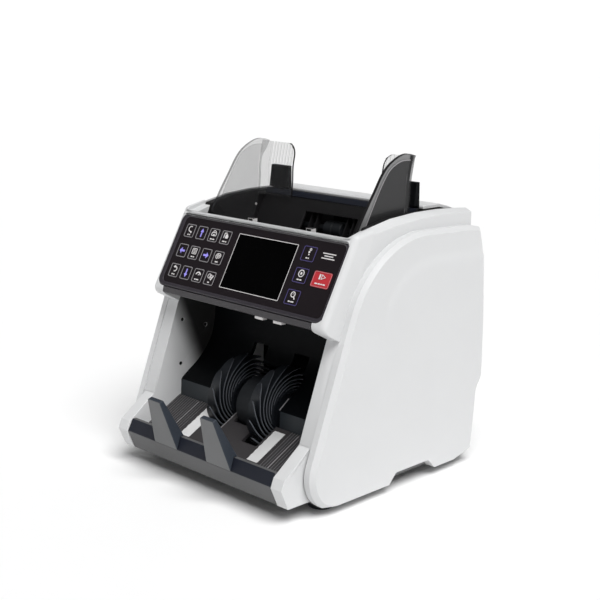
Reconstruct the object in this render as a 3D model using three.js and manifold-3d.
// Banknote counting machine: a desktop counter with a hopper on top, a slanted control panel
// and an open stacking pocket at the front. Millimetres, Z up, front towards -Y, feet on Z = 0.
// Side outlines are lists of [y, z] points, y counted from the middle of the body.
import * as THREE from "three";
import { mergeVertices } from "three/addons/utils/BufferGeometryUtils.js";
import Module from "manifold-3d";

const wasm = await Module();
wasm.setup();

// ---------------------------------------------------------------- driving dimensions
const MACHINE_WIDTH = 246; // over the raised side panels
const POCKET_WIDTH = 196; // between the pillars: a 185 mm long note and play on both ends
const GAP = 0.3; // between neighbouring pieces
const FOOT_HEIGHT = 8;
const SHELL_BOTTOM = 14; // lower edge of the white walls
const PANEL_LEAN = THREE.MathUtils.degToRad(29.7); // control panel, back from the vertical
const PANEL_TOP = [-40.7, 227.1]; // upper edge of the control panel face
const PANEL_WIDTH = 218;
const PANEL_LENGTH = 73; // down the slope
const FLOOR_SLOPE = THREE.MathUtils.degToRad(27); // pocket floor, falling to the front
const HOPPER_SLOPE = THREE.MathUtils.degToRad(29.9); // hopper floor, falling to the rear
const STACKER_RADIUS = 42.7;
const STACKER_AXIS = [-42, 62];
const BLADES = 15;
const KEY_SIZE = 13.4;
const KEY_PITCH_X = 16.85;
const KEY_PITCH_DOWN = 20;
const GUIDE_POSITION = 95; // outer face of each note guide, opened fully

const HALF = MACHINE_WIDTH / 2;
const POCKET_HALF = POCKET_WIDTH / 2;
const WALL_OUTER = HALF - 10; // the shell face the side panels stand on
const LINER_OUTER = WALL_OUTER - 7.3;
const LINER_INNER = POCKET_HALF - 1;
const INSIDE = POCKET_HALF - 0.4; // half width of pieces that fit between the walls
const REAR = 112.5; // rear edge of the white walls

const X = new THREE.Vector3(1, 0, 0);
const Y = new THREE.Vector3(0, 1, 0);
const Z = new THREE.Vector3(0, 0, 1);
const PANEL_UP = new THREE.Vector3(0, Math.sin(PANEL_LEAN), Math.cos(PANEL_LEAN));
const PANEL_OUT = new THREE.Vector3(0, -Math.cos(PANEL_LEAN), Math.sin(PANEL_LEAN));
const SIDES = { left: -1, right: 1 };

const material = (color, roughness, metalness = 0) =>
  new THREE.MeshStandardMaterial({ color, roughness, metalness });
const WHITE = material(0xdfe0e2, 0.45);
const GREY = material(0x6f7176, 0.5);
const CHARCOAL = material(0x2b2c30, 0.5);
const BLACK = material(0x151517, 0.55);
const BEZEL = material(0x2a2629, 0.3);
const KEY = material(0x221f24, 0.35);
const RED = material(0xc22a35, 0.35);
const GLASS = material(0x050506, 0.08);
const CLEAR = material(0xc8cdd2, 0.15);
const SMOKE = material(0x55585c, 0.2);
const RUBBER = material(0x1d1f22, 0.75);
const STEEL = material(0xb4b7bb, 0.3, 0.9);
const BOARD = material(0x1d5a34, 0.6);

// ---------------------------------------------------------------- solids and outlines
function toSolid(geometry) {
  const bare = geometry.clone();
  bare.deleteAttribute("normal");
  bare.deleteAttribute("uv");
  const merged = mergeVertices(bare, 1e-4);
  return new wasm.Manifold(
    new wasm.Mesh({
      numProp: 3,
      vertProperties: merged.attributes.position.array,
      triVerts: new Uint32Array(merged.index.array),
    }),
  );
}

function toGeometry(solid) {
  const mesh = solid.getMesh();
  const positions = new THREE.BufferAttribute(new Float32Array(mesh.vertProperties), 3);
  return new THREE.BufferGeometry()
    .setAttribute("position", positions)
    .setIndex(new THREE.BufferAttribute(new Uint32Array(mesh.triVerts), 1));
}

const join = (first, ...others) => others.reduce((sum, other) => sum.add(other), first);
const cut = (first, ...others) => others.reduce((rest, other) => rest.subtract(other), first);

function polygon(points) {
  return new THREE.Shape(points.map(([u, v]) => new THREE.Vector2(u, v)));
}

function roundedRectangle(u0, u1, v0, v1, radius) {
  const shape = new THREE.Shape();
  shape.absarc(u1 - radius, v0 + radius, radius, -Math.PI / 2, 0);
  shape.absarc(u1 - radius, v1 - radius, radius, 0, Math.PI / 2);
  shape.absarc(u0 + radius, v1 - radius, radius, Math.PI / 2, Math.PI);
  shape.absarc(u0 + radius, v0 + radius, radius, Math.PI, Math.PI * 1.5);
  return shape;
}

// A shape drawn on the plane through origin with axes u and v, made depth thick along u x v.
// With a bevel, the shape is the size of the two ends and the middle is that much larger.
function extrude(shape, depth, origin, u, v, bevel = 0, curveSegments = 3) {
  const geometry = new THREE.ExtrudeGeometry(shape, {
    depth,
    curveSegments,
    bevelEnabled: bevel > 0,
    bevelThickness: bevel,
    bevelSize: bevel,
    bevelSegments: 2,
  });
  const normal = new THREE.Vector3().crossVectors(u, v);
  geometry.applyMatrix4(new THREE.Matrix4().makeBasis(u, v, normal).setPosition(origin));
  return toSolid(geometry);
}

const point = (x, y, z) => new THREE.Vector3(x, y, z);
// Side outline [y, z], reaching from x0 to x1.
const sideSolid = (points, x0, x1) => extrude(polygon(points), x1 - x0, point(x0, 0, 0), Y, Z);
// Front outline [x, z], reaching from y0 back to y1.
const frontSolid = (points, y0, y1) => extrude(polygon(points), y1 - y0, point(0, y1, 0), X, Z);

// A shape on the control panel: u across, v up the slope from the upper edge (so v is negative
// on the panel), between two depths counted outwards from the panel face.
function panelSolid(shape, depth0, depth1, curveSegments = 3) {
  const origin = point(0, ...PANEL_TOP).addScaledVector(PANEL_OUT, depth0);
  return extrude(shape, depth1 - depth0, origin, X, PANEL_UP, 0, curveSegments);
}

function box(x0, x1, y0, y1, z0, z1) {
  const geometry = new THREE.BoxGeometry(x1 - x0, y1 - y0, z1 - z0);
  geometry.translate((x0 + x1) / 2, (y0 + y1) / 2, (z0 + z1) / 2);
  return toSolid(geometry);
}

function cylinderX(radius, x0, x1, [y, z], segments = 24) {
  const geometry = new THREE.CylinderGeometry(radius, radius, x1 - x0, segments);
  geometry.rotateZ(Math.PI / 2).translate((x0 + x1) / 2, y, z);
  return toSolid(geometry);
}

function cylinderZ(radius, z0, z1, [x, y], segments = 24) {
  const geometry = new THREE.CylinderGeometry(radius, radius, z1 - z0, segments);
  geometry.rotateX(Math.PI / 2).translate(x, y, (z0 + z1) / 2);
  return toSolid(geometry);
}

// A closed skin between two rings of points with the same count, capped by triangulation.
function loftX(outline0, x0, outline1, x1) {
  const count = outline0.length;
  const positions = [
    ...outline0.flatMap(([y, z]) => [x0, y, z]),
    ...outline1.flatMap(([y, z]) => [x1, y, z]),
  ];
  const index = [];
  const flat = outline0.map(([y, z]) => new THREE.Vector2(y, z));
  const turn = THREE.ShapeUtils.isClockWise(flat) ? 1 : -1;
  const face = (a, b, c) => index.push(...(turn > 0 ? [a, b, c] : [a, c, b]));
  for (const [a, b, c] of THREE.ShapeUtils.triangulateShape(flat, [])) {
    index.push(a, c, b);
    index.push(a + count, b + count, c + count);
  }
  for (let i = 0; i < count; i++) {
    const next = (i + 1) % count;
    face(i, i + count, next + count);
    face(i, next + count, next);
  }
  const geometry = new THREE.BufferGeometry();
  geometry.setAttribute("position", new THREE.Float32BufferAttribute(positions, 3));
  geometry.setIndex(index);
  return toSolid(geometry);
}

// The same solid on the other side of the middle plane.
function mirrored(solid) {
  const mesh = solid.getMesh();
  const vertProperties = new Float32Array(mesh.vertProperties);
  for (let i = 0; i < vertProperties.length; i += 3) vertProperties[i] *= -1;
  const triVerts = new Uint32Array(mesh.triVerts);
  for (let i = 0; i < triVerts.length; i += 3)
    [triVerts[i + 1], triVerts[i + 2]] = [triVerts[i + 2], triVerts[i + 1]];
  return new wasm.Manifold(new wasm.Mesh({ numProp: 3, vertProperties, triVerts }));
}

const machine = new THREE.Group();
machine.name = "banknote_counter";

function add(name, solid, look) {
  const mesh = new THREE.Mesh(toGeometry(solid), look);
  mesh.name = name;
  machine.add(mesh);
}

function addPair(name, rightSolid, look) {
  add(name + "_right", rightSolid, look);
  add(name + "_left", mirrored(rightSolid), look);
}

// ---------------------------------------------------------------- base and feet
const BASE_TOP = SHELL_BOTTOM - GAP;

function basePan() {
  const half = WALL_OUTER - GAP;
  const frontHalf = INSIDE;
  const outline = [
    [-half, REAR],
    [-half, -84],
    [-frontHalf, -84],
    [-frontHalf, -106],
    [frontHalf, -106],
    [frontHalf, -84],
    [half, -84],
    [half, REAR],
  ];
  const thickness = BASE_TOP - FOOT_HEIGHT - GAP;
  return extrude(polygon(outline.reverse()), thickness, point(0, 0, FOOT_HEIGHT + GAP), X, Y);
}

function foot(x, y) {
  return cylinderZ(11, 0, FOOT_HEIGHT, [x, y], 20);
}

// ---------------------------------------------------------------- white shell
const HEAD_BOTTOM = [-59.4, 145.9]; // where the head meets the pillars
const HEAD_CHEEK = 106.7; // the cheeks turn from the front to the side outside this
const HEAD_INNER = [[-38.2, 232.3], [-80.3, 157.6], HEAD_BOTTOM, [-18, 236.2]];
const HEAD_OUTER = [[-33.4, 228.2], [-75.9, 155.2], HEAD_BOTTOM, [-18, 231.6]];
const LIP_TOP = 163.6; // the head ends here between the cheeks

function headFrame() {
  const cheek = loftX(HEAD_INNER, HEAD_CHEEK, HEAD_OUTER, WALL_OUTER);
  const block = join(sideSolid(HEAD_INNER, -HEAD_CHEEK, HEAD_CHEEK), cheek, mirrored(cheek));
  const pocketRoof = box(-POCKET_HALF, POCKET_HALF, -100, -40, 130, LIP_TOP);
  const mouth = [[-45, 228.7], [-33.3, 228.7], [-33.3, 221.5], [-5, 205.2], [-5, 245], [-45, 245]];
  const hopper = sideSolid(mouth, -LINER_INNER - GAP, LINER_INNER + GAP);
  // A ledge beside the mouth's front carries on the line of the liners behind it.
  const ledge = [[-45, 228.7], [-33.3, 228.7], [-17.4, 232.9], [-21.5, 226], [-21.5, 214.7], [-5, 205.2]];
  const besideMouth = sideSolid([...ledge, [-5, 245], [-45, 245]], -LINER_OUTER - GAP, LINER_OUTER + GAP);
  const half = PANEL_WIDTH / 2;
  const bezelSeat = panelSolid(roundedRectangle(-half, half, -PANEL_LENGTH - GAP, GAP, 9), -4.6, 10);
  const electronics = panelSolid(roundedRectangle(-102, 102, 6 - PANEL_LENGTH, -5, 3), -60, 1);
  return cut(block, pocketRoof, hopper, besideMouth, bezelSeat, electronics);
}

// Top edge of the shell behind the head: y, height at the liner and height at the outer face.
const TOP_EDGE = [
  [-17.4, 236.0, 231.3],
  [10, 240.8, 235],
  [40, 242.6, 237.4],
  [70, 242.3, 238],
  [100, 240.2, 236.8],
  [REAR, 239, 236],
];
const PILLAR_LINE = [[-86, SHELL_BOTTOM], [-91, 61.8], [-59.3, 145.2]];
const EAR = [[-85, SHELL_BOTTOM], [-85, 61.4], [-91, 61.4], [-120.6, 40.2], [-124.2, 31.8], [-116.4, 14]];
const WALL_HOLES = [[-54.8, 126.6], [-26.4, 116.6], [-58.1, 83.7]];

function sideWall() {
  const skin = (topEdge) => [...PILLAR_LINE, ...topEdge, [REAR, SHELL_BOTTOM]];
  const atLiner = skin(TOP_EDGE.map(([y, height]) => [y, height]));
  const atOuterFace = skin(TOP_EDGE.map(([y, , height]) => [y, height]));
  const outer = loftX(atLiner, LINER_OUTER + GAP, atOuterFace, WALL_OUTER);
  const innerOutline = [...PILLAR_LINE, [-50, 164.5], [REAR, 164.5], [REAR, SHELL_BOTTOM]];
  const inner = sideSolid(innerOutline, POCKET_HALF, LINER_OUTER + 1);
  const ear = sideSolid(EAR, POCKET_HALF, WALL_OUTER - 2);
  const hollow = box(POCKET_HALF - 1, WALL_OUTER - 3, 2, 106, 18, 160);
  const holes = WALL_HOLES.map((centre) => cylinderX(1.8, POCKET_HALF - 1, POCKET_HALF + 3, centre, 10));
  return cut(join(outer, inner, ear), hollow, ...holes);
}

const PANEL_BEVEL = 4;
const NOTCH = [[-9, 4], [3.9, 17.2], [48, 17.2], [61, 4]];

// The face of the raised side panel: a long slanted front edge, rounded at the foot and bent
// over in one large arc into the nearly level top.
function sidePanelFace() {
  const frontAngle = THREE.MathUtils.degToRad(159);
  const shape = new THREE.Shape();
  shape.absarc(-68, 36, 28, Math.PI * 1.5, frontAngle, true);
  shape.absarc(37.9, 132.1, 92, frontAngle, Math.PI / 2, true);
  const rearEdge = [[101, 222], [113.5, 218.5], [120.3, 197.5], [122.5, 135], [122, 81], [114.8, 71]];
  const lowerCorner = [[108.7, 14], [84.4, 8]];
  for (const [y, z] of [...rearEdge, ...lowerCorner]) shape.lineTo(y, z);
  return shape;
}

function sidePanel() {
  const depth = HALF - PANEL_BEVEL - WALL_OUTER + 10;
  const origin = point(HALF - PANEL_BEVEL - depth, 0, 0);
  const blank = extrude(sidePanelFace(), depth, origin, Y, Z, PANEL_BEVEL, 9);
  const keep = box(WALL_OUTER + GAP, HALF + 1, -130, 140, 8, 240);
  return cut(blank.intersect(keep), sideSolid(NOTCH, WALL_OUTER - 1, HALF + 1));
}

// ---------------------------------------------------------------- rear and top
const LID_HALF = LINER_INNER - 0.4;
const LID_HINGE = [114.5, 152];

function topCover() {
  const outline = [
    [64.2, 241.2], [64.2, 243.6], [66, 244.8], [87, 244], [100, 240.4], [110, 236.4], [115.5, 229.5],
    [116, 152], [113, 152], [112.6, 228.4], [108.2, 233.4], [99, 237.3], [86.4, 240.8],
  ];
  return sideSolid(outline, -LID_HALF, LID_HALF);
}

const INLET_CENTRE = 62;
const INLET_HALF = 13;
const INLET_Z = [30, 72];
const REAR_FACE = 116;
const VENT_COUNT = 6;
const VENT_PITCH = 9;

function rearCover() {
  const half = WALL_OUTER - GAP;
  const plate = box(-half, half, REAR + GAP, REAR_FACE, SHELL_BOTTOM, 149.6);
  const clearance = GAP;
  const inletHole = box(
    INLET_CENTRE - INLET_HALF - clearance, INLET_CENTRE + INLET_HALF + clearance,
    REAR - 1, REAR_FACE + 1, INLET_Z[0] - clearance, INLET_Z[1] + clearance,
  );
  const vents = Array.from({ length: VENT_COUNT }, (_, i) =>
    box(-80, -20, REAR - 1, REAR_FACE + 1, 40 + i * VENT_PITCH, 43 + i * VENT_PITCH),
  );
  return cut(plate, inletHole, ...vents);
}

const ROCKER_AXIS = [112, 62];

function powerInlet() {
  const [low, high] = INLET_Z;
  const body = box(INLET_CENTRE - INLET_HALF, INLET_CENTRE + INLET_HALF, 97, REAR_FACE + 0.5, low, high);
  const flangeX = [INLET_CENTRE - INLET_HALF - 2, INLET_CENTRE + INLET_HALF + 2];
  const flange = box(...flangeX, REAR_FACE + GAP, REAR_FACE + 2, low - 2, high + 2);
  const socket = box(INLET_CENTRE - 11, INLET_CENTRE + 11, 101, REAR_FACE + 3, low + 3, low + 18);
  const switchWell = box(INLET_CENTRE - 10, INLET_CENTRE + 10, 101, REAR_FACE + 3, 53, 71);
  const pins = [[-7, 37.5], [0, 41.5], [7, 37.5]].map(([x, z]) =>
    box(INLET_CENTRE + x - 1, INLET_CENTRE + x + 1, 100, REAR_FACE - 1, z - 2, z + 2),
  );
  return join(cut(join(body, flange), socket, switchWell), ...pins);
}

function rockerSwitch() {
  const [axisY, axisZ] = ROCKER_AXIS;
  const aroundAxis = [[-6, -5], [5.5, -7], [3.5, 0], [7.2, 7], [-6, 5]];
  const outline = aroundAxis.map(([y, z]) => [axisY + y, axisZ + z]);
  return sideSolid(outline, INLET_CENTRE - 9, INLET_CENTRE + 9);
}

// ---------------------------------------------------------------- control panel
const OVERLAY_DEPTH = -0.8; // the glossy field lies this far inside the raised rim
const PLATE_DEPTH = -4.3;
const KEY_ROWS = 3;
const KEY_COLUMNS = 4;
const FIRST_KEY = [-91.6, -16.6];
const KEY_NAMES = [
  "loop", "up", "print", "batch",
  "previous", "menu", "next", "add",
  "back", "down", "speed", "detect",
];
const SIDE_KEYS = [
  { name: "currency", u: 66, v: -16.4 },
  { name: "mode", u: 66, v: -36.2 },
  { name: "query", u: 66, v: -56.2 },
];
const START_KEY = { name: "start", u: 90.6, v: -36.2, width: 20.6, height: 14.2 };
const SCREEN = { u0: -25.6, u1: 51.4, v0: -62.8, v1: -9.7 };

const keys = [];
for (let row = 0; row < KEY_ROWS; row++)
  for (let column = 0; column < KEY_COLUMNS; column++)
    keys.push({
      name: KEY_NAMES[row * KEY_COLUMNS + column],
      u: FIRST_KEY[0] + column * KEY_PITCH_X,
      v: FIRST_KEY[1] - row * KEY_PITCH_DOWN,
      width: KEY_SIZE,
      height: KEY_SIZE,
    });
for (const key of SIDE_KEYS) keys.push({ width: 16, height: 14, ...key });
keys.push(START_KEY);

const KEY_CORNER = 1.8;

function keyOutline({ u, v, width, height }, grow) {
  const across = width / 2 + grow;
  const up = height / 2 + grow;
  return roundedRectangle(u - across, u + across, v - up, v + up, KEY_CORNER);
}

function bezel() {
  const half = PANEL_WIDTH / 2 - GAP;
  const plate = panelSolid(roundedRectangle(-half, half, -PANEL_LENGTH, 0, 8.7), PLATE_DEPTH, 0);
  const field = panelSolid(roundedRectangle(-103, 105.2, -69, -3.2, 5), OVERLAY_DEPTH, 1);
  const { u0, u1, v0, v1 } = SCREEN;
  const screenHole = roundedRectangle(u0 - GAP, u1 + GAP, v0 - GAP, v1 + GAP, 0.5);
  const holes = keys.map((key) => panelSolid(keyOutline(key, GAP), -10, 1, 2));
  return cut(plate, field, panelSolid(screenHole, -10, 1), ...holes);
}

function keyCap(key) {
  const flange = polygon([
    [key.u - key.width / 2 - 1, key.v - key.height / 2 - 1],
    [key.u + key.width / 2 + 1, key.v - key.height / 2 - 1],
    [key.u + key.width / 2 + 1, key.v + key.height / 2 + 1],
    [key.u - key.width / 2 - 1, key.v + key.height / 2 + 1],
  ]);
  return join(panelSolid(keyOutline(key, 0), -5, -0.3, 2), panelSolid(flange, -5.6, PLATE_DEPTH - GAP));
}

function displayPanel() {
  const screen = panelSolid(roundedRectangle(SCREEN.u0, SCREEN.u1, SCREEN.v0, SCREEN.v1, 0.5), -5.2, -1);
  const module = polygon([[-30, -66.5], [55.5, -66.5], [55.5, -5.8], [-30, -5.8]]);
  return join(screen, panelSolid(module, -5.9, PLATE_DEPTH - GAP));
}

function controlBoard() {
  const outline = (u0, u1, v0, v1) => polygon([[u0, v0], [u1, v0], [u1, v1], [u0, v1]]);
  const board = panelSolid(outline(-101, 101, -66, -6), -8, -6.4);
  const parts = [[-70, -52, -44, -26], [-20, -8, -50, -20], [30, 62, -60, -52], [20, 36, -30, -14]];
  return join(board, ...parts.map((part) => panelSolid(outline(...part), -11, -7)));
}

// ---------------------------------------------------------------- stacking pocket
const FLOOR_REAR = [-59.9, 53.7];
const FLOOR_FRONT = -108.2;
const FLOOR_THICKNESS = 3.4;
const WHEEL_SLOT = [17, 37];
const DRUM_HALF = 10; // the plain roller between the two stacker wheels
const DRUM_RADIUS = 25;
const WINDOW_X = [39, 53];
const WINDOW_Y = [-98, -63];
const floorHeight = (y) => FLOOR_REAR[1] + (y - FLOOR_REAR[0]) * Math.tan(FLOOR_SLOPE);

function pocketRoof() {
  const outline = [
    [-77.1, 163.1], [-78.4, 157.8], [-76, 156.6], [-40, 152.4], [-16, 150.6],
    [-16, 154], [-40, 156], [-54, 158.5], [-54, 160.7], [-72.8, 160.7],
  ];
  return sideSolid(outline, -INSIDE, INSIDE);
}

function floorSlice(y0, y1, x0, x1) {
  const outline = [
    [y1, floorHeight(y1)], [y0, floorHeight(y0)],
    [y0, floorHeight(y0) - FLOOR_THICKNESS], [y1, floorHeight(y1) - FLOOR_THICKNESS],
  ];
  return sideSolid(outline, x0, x1);
}

function pocketFloor() {
  const holes = Object.values(SIDES).flatMap((side) => {
    const across = ([near, far], play) => [side * near, side * far].sort((a, b) => a - b)
      .map((x, i) => x + (i ? play : -play));
    return [
      box(...across(WHEEL_SLOT, 0), -84, -50, 20, 70),
      box(...across(WINDOW_X, GAP), WINDOW_Y[0] - GAP, WINDOW_Y[1] + GAP, 20, 70),
    ];
  });
  const slotHalf = DRUM_HALF + 0.8;
  const drumSlot = box(-slotHalf, slotHalf, STACKER_AXIS[0] - DRUM_RADIUS - 1.5, -50, 20, 70);
  return cut(floorSlice(FLOOR_FRONT, FLOOR_REAR[0], -INSIDE, INSIDE), drumSlot, ...holes);
}

const sensorWindow = () => floorSlice(...WINDOW_Y, ...WINDOW_X);

function pocketBack() {
  const front = [
    [-59.3, 49.8], [-59.3, 65.5], [-57.6, 69.6], [-51.7, 73.7], [-34.3, 86.1], [-20, 104],
    [-14.5, 125], [-14, 150],
  ];
  const rear = [
    [-10.4, 150], [-11, 124.3], [-17, 102.5], [-31.9, 83.6], [-49.6, 70.9], [-54.5, 67.5], [-55.8, 64.8],
    [-55.8, 49.8],
  ];
  const sheet = sideSolid([...front, ...rear], -INSIDE, INSIDE);
  const middle = box(-40, 40, -70, -20, 40, 94);
  const slots = Object.values(SIDES).map((side) => box(side * 27 - 9.5, side * 27 + 9.5, -60, -5, 80, 109));
  return cut(sheet, middle, ...slots);
}

const RIDGE = [-123.4, 31.8];
const CREST = [-117.7, 42.6];

function frontBar() {
  const outline = [[-116.5, 14.3], RIDGE, CREST, [-113.5, 42.6], [-108.6, 33], [-108.6, 14.3]];
  return sideSolid(outline, -INSIDE, INSIDE);
}

const STOP_CENTRES = { left: -40, right: 32 };

function fingerStop(centre) {
  const outline = [[-123.7, 31.95], [-136.3, 77.1], [-131.7, 78.7], [-113.8, 42.95], [-117.95, 42.95]];
  const taper = [[centre - 17, 28], [centre + 17, 28], [centre + 8.2, 80], [centre - 8.2, 80]];
  return sideSolid(outline, centre - 20, centre + 20).intersect(frontSolid(taper, -140, -100));
}

// ---------------------------------------------------------------- stacker wheels
const BLADE_TWIST = 0.295; // radius falls by this share for each radian of sweep
const HUB_RADIUS = 20;
const WHEEL_CENTRE = 27;
const BLADE_HALF_WIDTH = 7;
const BLADE_THICKNESS = 1.4;
const BLADE_STEPS = 7;
const FIRST_TIP = THREE.MathUtils.degToRad(177.5);

// One finger: a strip that winds inwards from its tip to the hub and narrows to a rounded tip.
function blade(tipAngle) {
  const sweep = Math.log(STACKER_RADIUS / (HUB_RADIUS - 2)) / BLADE_TWIST;
  const positions = [];
  for (let i = 0; i <= BLADE_STEPS; i++) {
    const along = (i / BLADE_STEPS) ** 1.4;
    const angle = tipAngle + sweep * along;
    const radius = STACKER_RADIUS * Math.exp(-BLADE_TWIST * sweep * along);
    const width = BLADE_HALF_WIDTH * Math.min(1, 0.25 + 4.5 * along);
    for (const [r, side] of [[0, -1], [0, 1], [-BLADE_THICKNESS, 1], [-BLADE_THICKNESS, -1]])
      positions.push(
        WHEEL_CENTRE + side * width,
        STACKER_AXIS[0] + (radius + r) * Math.cos(angle),
        STACKER_AXIS[1] + (radius + r) * Math.sin(angle),
      );
  }
  const index = [0, 1, 2, 0, 2, 3];
  for (let i = 0; i < BLADE_STEPS; i++)
    for (let k = 0; k < 4; k++) {
      const [a, b] = [4 * i + k, 4 * i + ((k + 1) % 4)];
      index.push(a, a + 4, b + 4, a, b + 4, b);
    }
  const last = 4 * BLADE_STEPS;
  index.push(last, last + 2, last + 1, last, last + 3, last + 2);
  const geometry = new THREE.BufferGeometry();
  geometry.setAttribute("position", new THREE.Float32BufferAttribute(positions, 3));
  geometry.setIndex(index);
  return toSolid(geometry);
}

const SHAFT_RADIUS = 4;

function stackerWheel() {
  const hub = cylinderX(HUB_RADIUS, WHEEL_CENTRE - 7, WHEEL_CENTRE + 7, STACKER_AXIS, 30);
  const blades = Array.from({ length: BLADES }, (_, i) => blade(FIRST_TIP - (i * 2 * Math.PI) / BLADES));
  const bore = cylinderX(SHAFT_RADIUS + GAP, 0, 60, STACKER_AXIS, 16);
  return cut(join(hub, ...blades), bore);
}

const BELT_PLANE = [-78, -70]; // all belt pulleys lie between these

function stackerShaft() {
  return join(
    cylinderX(SHAFT_RADIUS, -94, 94, STACKER_AXIS, 16),
    cylinderX(DRUM_RADIUS, -DRUM_HALF, DRUM_HALF, STACKER_AXIS, 36),
    cylinderX(11, ...BELT_PLANE, STACKER_AXIS),
  );
}

// ---------------------------------------------------------------- hopper
const HOPPER_FRONT = [-33, 227.2];
const hopperHeight = (y) => HOPPER_FRONT[1] - (y - HOPPER_FRONT[0]) * Math.tan(HOPPER_SLOPE);
const HOPPER_HALF = LINER_INNER - 0.4;
const PICK_AXIS = [-7.5, 199.1];
const PICK_RADIUS = 12;
const PICK_X = [22, 34];
const GATE_TOP = 227.2;
const BACK_OPENING = [34, 204, 226.6]; // half width, bottom and top
const BACK_TOP = [56, 243];
const BACK_BOTTOM = [29.5, 197];

function hopperFloor() {
  const rear = [22, hopperHeight(22)];
  const below = ([y, z]) => [y, z - 3.4];
  const outline = [HOPPER_FRONT, below(HOPPER_FRONT), below(rear), rear];
  const [gateFront, gateRear] = [-20.5, -14];
  const gateFoot = [[gateFront, hopperHeight(gateFront) - 1], [gateRear, hopperHeight(gateRear) - 1]];
  const gateSide = [...gateFoot, [gateRear, GATE_TOP], [gateFront, GATE_TOP]];
  const gates = [-41.5, 34.5].map((x) => sideSolid(gateSide, x, x + 7));
  const wheelSlots = Object.values(SIDES).map((side) => {
    const middle = (side * (PICK_X[0] + PICK_X[1])) / 2;
    return cylinderX(PICK_RADIUS + 0.8, middle - 7, middle + 7, PICK_AXIS);
  });
  return join(cut(sideSolid(outline, -HOPPER_HALF, HOPPER_HALF), ...wheelSlots), ...gates);
}

function hopperBack() {
  const outline = [BACK_BOTTOM, BACK_TOP, [58.7, 242.7], [31.8, 195.9]];
  const [half, low, high] = BACK_OPENING;
  return cut(sideSolid(outline, -HOPPER_HALF, HOPPER_HALF), box(-half, half, 25, 60, low, high));
}

function hopperLiner() {
  const top = TOP_EDGE.slice(1).map(([y, height]) => [y, height - 1.4]);
  const front = [[-16.9, 234.6], [-21.1, 226], [-21.1, 218], [-6, 209.3]];
  return sideSolid([...front, [-6, 165], [REAR, 165], ...top.reverse()], LINER_INNER, LINER_OUTER);
}

const GUIDE_THICKNESS = 3;
const GUIDE_FLANGE = 57; // inner edge of the rear flange

function noteGuide() {
  const plate = [
    [-16.8, 223.8], [-19.3, 226], [-19.6, 229.5], [-8, 247.5], [2.5, 262.5], [11.6, 276], [20, 284],
    [35, 290.5], [43, 292.5], [58.5, 289], [60, 282], [57, 266], [53.3, 240], [38, 214], [33, 208.5],
    [4.7, 217.2],
  ];
  const flange = [
    [51.2, 237.2], [54.2, 266], [57, 282], [56, 288.5], [58.5, 289], [60, 282], [57, 266], [53.3, 240],
  ];
  const corner = [[50, 275.5], [57, 275.5], [58.6, 281.5], [62.5, 286.5], [69, 290], [69, 300], [50, 300]];
  const inner = GUIDE_POSITION - GUIDE_THICKNESS;
  return join(
    sideSolid(plate.reverse(), inner, GUIDE_POSITION),
    cut(sideSolid(flange.reverse(), GUIDE_FLANGE, GUIDE_POSITION - 1), frontSolid(corner, 45, 65)),
  );
}

const PINION_CENTRE = 229;
const PINION_RADIUS = 6.2;
const SLIDER_X = [69.5, 93.5];
const RACK_Y = [64, 68];
const RACK_HEIGHT = 4;
const RACK_OVERLAP = 14; // each rack reaches this far past the middle

// The slider behind the flange carries a rack that runs to the pinion at the middle. The right
// one passes below the pinion, the left one above it.
function guideRack(side) {
  const slider = [[59.3, 222], [59.3, 244.2], [54.8, 244.2], [57.8, 265.5], [62.5, 265.5], [62.5, 222]];
  const toPitch = PINION_RADIUS + GAP;
  const rackBottom = side > 0 ? PINION_CENTRE - toPitch - RACK_HEIGHT : PINION_CENTRE + toPitch;
  const bar = box(-RACK_OVERLAP, SLIDER_X[1], ...RACK_Y, rackBottom, rackBottom + RACK_HEIGHT);
  const bridgeBottom = Math.max(rackBottom, 222);
  const bridge = box(...SLIDER_X, 62, RACK_Y[1], bridgeBottom, rackBottom + RACK_HEIGHT);
  const right = join(sideSolid(slider.reverse(), ...SLIDER_X), bar, bridge);
  return side > 0 ? right : mirrored(right);
}

function guidePinion() {
  const geometry = new THREE.CylinderGeometry(PINION_RADIUS, PINION_RADIUS, 6, 20);
  geometry.translate(0, 66, 0);
  const rim = toSolid(geometry.applyMatrix4(new THREE.Matrix4().makeTranslation(0, 0, PINION_CENTRE)));
  const pin = new THREE.CylinderGeometry(2, 2, 22, 12).translate(0, 73, PINION_CENTRE);
  return join(rim, toSolid(pin));
}

// ---------------------------------------------------------------- feed path
const FEED_AXIS = [54, 212];
const DRUM_AXIS = [40, 150];

function pickRoller() {
  const roller = cylinderX(PICK_RADIUS, ...PICK_X, PICK_AXIS);
  const shaft = cylinderX(3, -94, 94, PICK_AXIS, 12);
  return join(shaft, roller, mirrored(roller), cylinderX(7, ...BELT_PLANE, PICK_AXIS));
}

function feedRoller() {
  return join(
    cylinderX(3, -94, 94, FEED_AXIS, 12),
    cylinderX(8, -11, 11, FEED_AXIS),
    cylinderX(8, ...BELT_PLANE, FEED_AXIS),
  );
}

function transportDrum() {
  return join(
    cylinderX(4, -94, 94, DRUM_AXIS, 12),
    cylinderX(28, -55, 55, DRUM_AXIS, 36),
    cylinderX(16, ...BELT_PLANE, DRUM_AXIS),
  );
}

// ---------------------------------------------------------------- drive and electronics
const MOTOR_AXIS = [75, 60];

function driveMotor() {
  const can = cylinderX(20, -62, -6, MOTOR_AXIS, 30);
  const mount = box(-66, -60, MOTOR_AXIS[0] - 22, MOTOR_AXIS[0] + 22, BASE_TOP + GAP, MOTOR_AXIS[1] + 22);
  return cut(join(can, mount), cylinderX(4, -70, -58, MOTOR_AXIS, 12));
}

function motorPulley() {
  return join(cylinderX(9, ...BELT_PLANE, MOTOR_AXIS), cylinderX(2.5, -71, -59, MOTOR_AXIS, 12));
}

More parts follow.
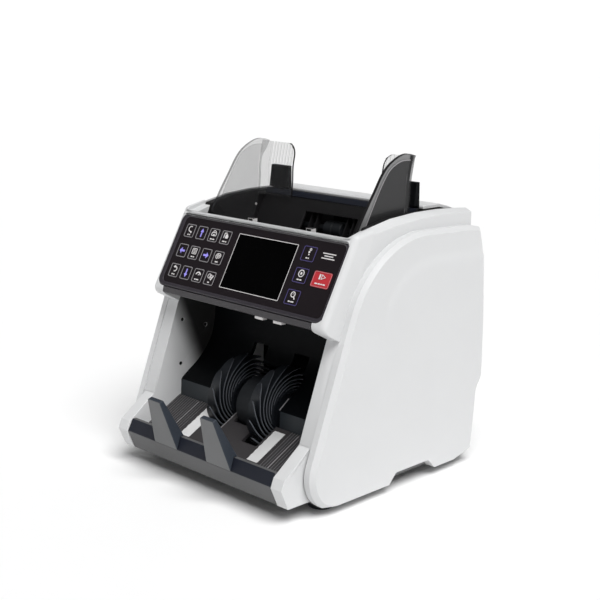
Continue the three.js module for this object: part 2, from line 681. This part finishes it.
function powerSupply() {
  return join(
    box(12, 88, 20, 92, 20, 22),
    box(20, 44, 30, 60, 21, 50),
    box(52, 80, 30, 80, 21, 40),
    box(20, 44, 66, 84, 21, 36),
    box(16, 20, 24, 28, BASE_TOP + GAP, 21),
    box(80, 84, 84, 88, BASE_TOP + GAP, 21),
  );
}

function mainBoard() {
  return join(
    box(-88, 88, 103, 104.6, 80, 145),
    box(-60, -40, 100, 103.5, 100, 120),
    box(-10, 14, 100.5, 103.5, 96, 120),
    box(40, 76, 98, 103.5, 86, 94),
  );
}

// ---------------------------------------------------------------- assembly
add("base_pan", basePan(), GREY);
for (const [side, sign] of Object.entries(SIDES)) {
  add("foot_front_" + side, foot(sign * 99, -66), RUBBER);
  add("foot_rear_" + side, foot(sign * 99, 97), RUBBER);
}
addPair("side_wall", sideWall(), WHITE);
addPair("side_panel", sidePanel(), WHITE);
add("head_frame", headFrame(), WHITE);
add("top_cover", topCover(), WHITE);
add("rear_cover", rearCover(), WHITE);
add("power_inlet", powerInlet(), BLACK);
add("rocker_switch", rockerSwitch(), BLACK);

add("bezel", bezel(), BEZEL);
for (const key of keys) add("key_" + key.name, keyCap(key), key === START_KEY ? RED : KEY);
add("display", displayPanel(), GLASS);
add("control_board", controlBoard(), BOARD);

add("pocket_roof", pocketRoof(), CHARCOAL);
add("pocket_floor", pocketFloor(), CHARCOAL);
add("pocket_back", pocketBack(), BLACK);
add("front_bar", frontBar(), CHARCOAL);
addPair("sensor_window", sensorWindow(), CLEAR);
for (const side in STOP_CENTRES) add("finger_stop_" + side, fingerStop(STOP_CENTRES[side]), GREY);
add("stacker_shaft", stackerShaft(), RUBBER);
addPair("stacker_wheel", stackerWheel(), RUBBER);

add("hopper_floor", hopperFloor(), BLACK);
add("hopper_back", hopperBack(), BLACK);
addPair("hopper_liner", hopperLiner(), BLACK);
addPair("note_guide", noteGuide(), SMOKE);
for (const [side, sign] of Object.entries(SIDES)) add("guide_rack_" + side, guideRack(sign), BLACK);
add("guide_pinion", guidePinion(), STEEL);
add("pick_roller", pickRoller(), RUBBER);
add("feed_roller", feedRoller(), RUBBER);
add("transport_drum", transportDrum(), RUBBER);

add("drive_motor", driveMotor(), STEEL);
add("motor_pulley", motorPulley(), STEEL);
add("power_supply", powerSupply(), BOARD);
add("main_board", mainBoard(), BOARD);

// The origin lies on the floor under the middle of the whole machine.
const bounds = new THREE.Box3().setFromObject(machine);
machine.position.y = -(bounds.min.y + bounds.max.y) / 2;

export default machine;
